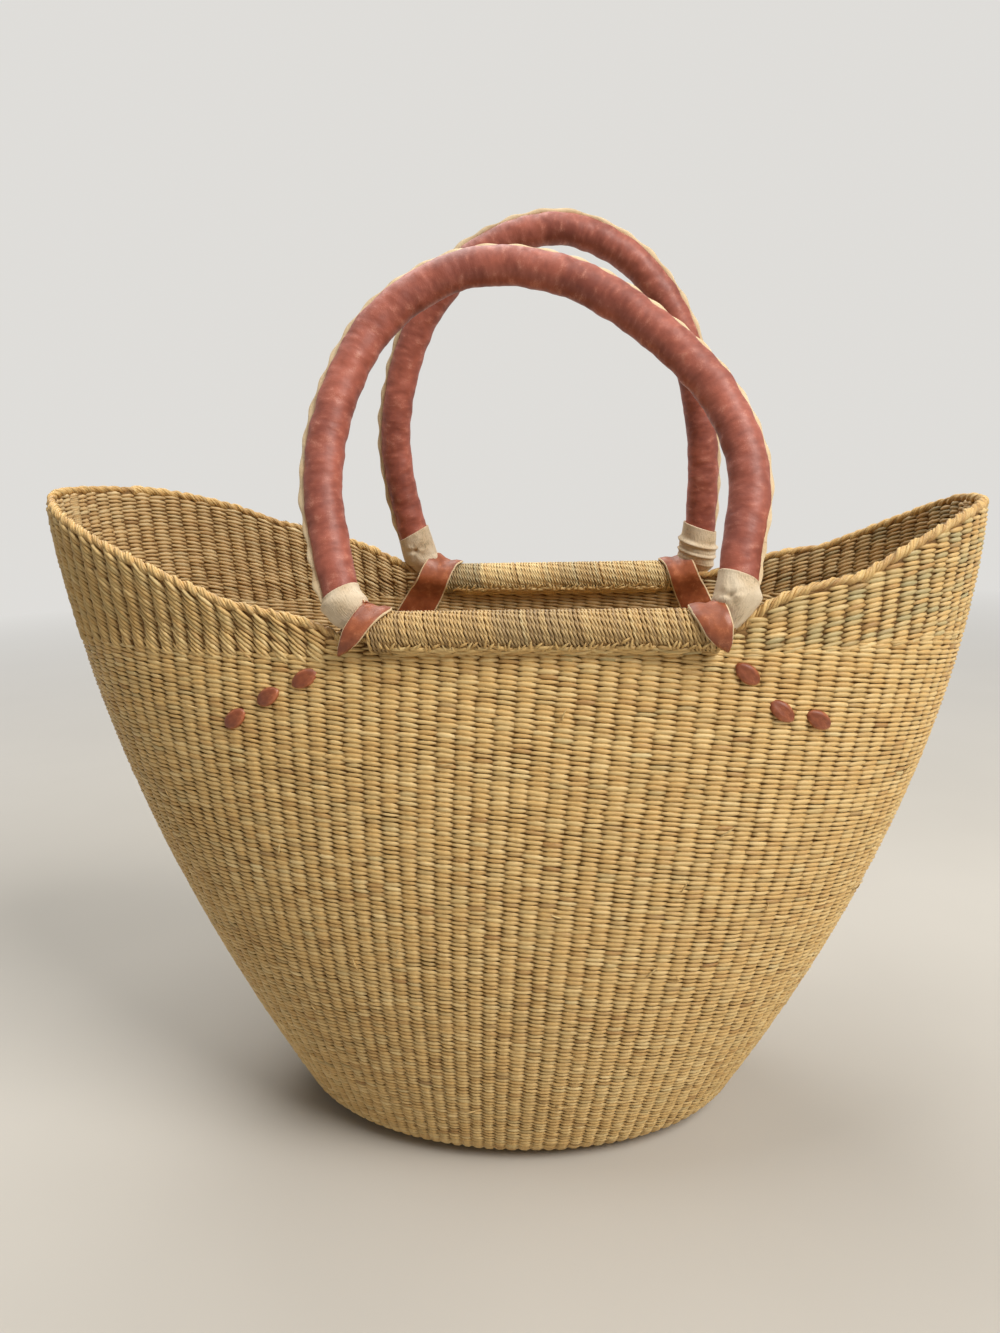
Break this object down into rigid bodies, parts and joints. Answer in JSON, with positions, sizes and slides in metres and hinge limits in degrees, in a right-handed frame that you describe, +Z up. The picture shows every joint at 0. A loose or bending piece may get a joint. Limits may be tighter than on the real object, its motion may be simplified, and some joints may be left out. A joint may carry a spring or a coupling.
{
  "type": "straw tote bag",
  "caption": "Oval winged basket tote of twined grass with straw-wound rim rods and leather tube handles that swing on the rods.",
  "frame": {"origin": "under the middle of the base mat, on the surface that the basket stands on", "axes": "+Z up, +X along the length towards the right wing, -Y towards the front handle"},
  "size_m": [0.4571, 0.214, 0.4728],
  "materials": {
    "woven_grass": "twined dry grass, satin, streaked from straw to tan",
    "pale_straw": "twisted and braided pale straw, satin",
    "stake_bundle": "bundled grass stalks, matte",
    "red_leather": "red-brown goat leather, wrinkled, soft sheen",
    "brown_leather": "brown leather strips with pale raw edges",
    "raw_leather": "undyed pale leather, matte"
  },
  "bodies": {
    "basket": {"base_mat": "woven_grass", "woven_wall": "woven_grass", "left_wing": "woven_grass", "right_wing": "woven_grass", "left_wing_braid": "pale_straw", "right_wing_braid": "pale_straw", "front_rim_core": "stake_bundle", "front_rim_winding": "pale_straw", "back_rim_core": "stake_bundle", "back_rim_winding": "pale_straw", "front_left_strap": "brown_leather", "front_right_strap": "brown_leather", "back_left_strap": "brown_leather", "back_right_strap": "brown_leather", "front_left_stitch_1": "brown_leather", "front_left_stitch_2": "brown_leather", "front_left_stitch_3": "brown_leather", "front_right_stitch_1": "brown_leather", "front_right_stitch_2": "brown_leather", "front_right_stitch_3": "brown_leather", "back_left_stitch_1": "brown_leather", "back_left_stitch_2": "brown_leather", "back_left_stitch_3": "brown_leather", "back_right_stitch_1": "brown_leather", "back_right_stitch_2": "brown_leather", "back_right_stitch_3": "brown_leather"},
    "front_handle": {"front_handle_core": "stake_bundle", "front_handle_cover": "red_leather", "front_handle_welt": "raw_leather", "front_left_binding": "raw_leather", "front_right_binding": "raw_leather"},
    "back_handle": {"back_handle_core": "stake_bundle", "back_handle_cover": "red_leather", "back_handle_welt": "raw_leather", "back_left_binding": "raw_leather", "back_right_binding": "raw_leather"}
  },
  "joints": [
    {"name": "front_handle_swing", "type": "hinge", "parent": "basket", "child": "front_handle", "pos_m": [0.024, -0.0945, 0.268], "axis": [1, 0, 0], "range_deg": [-8, 138]},
    {"name": "back_handle_swing", "type": "hinge", "parent": "basket", "child": "back_handle", "pos_m": [0.024, 0.0945, 0.268], "axis": [-1, 0, 0], "range_deg": [-23, 120]}
  ]
}
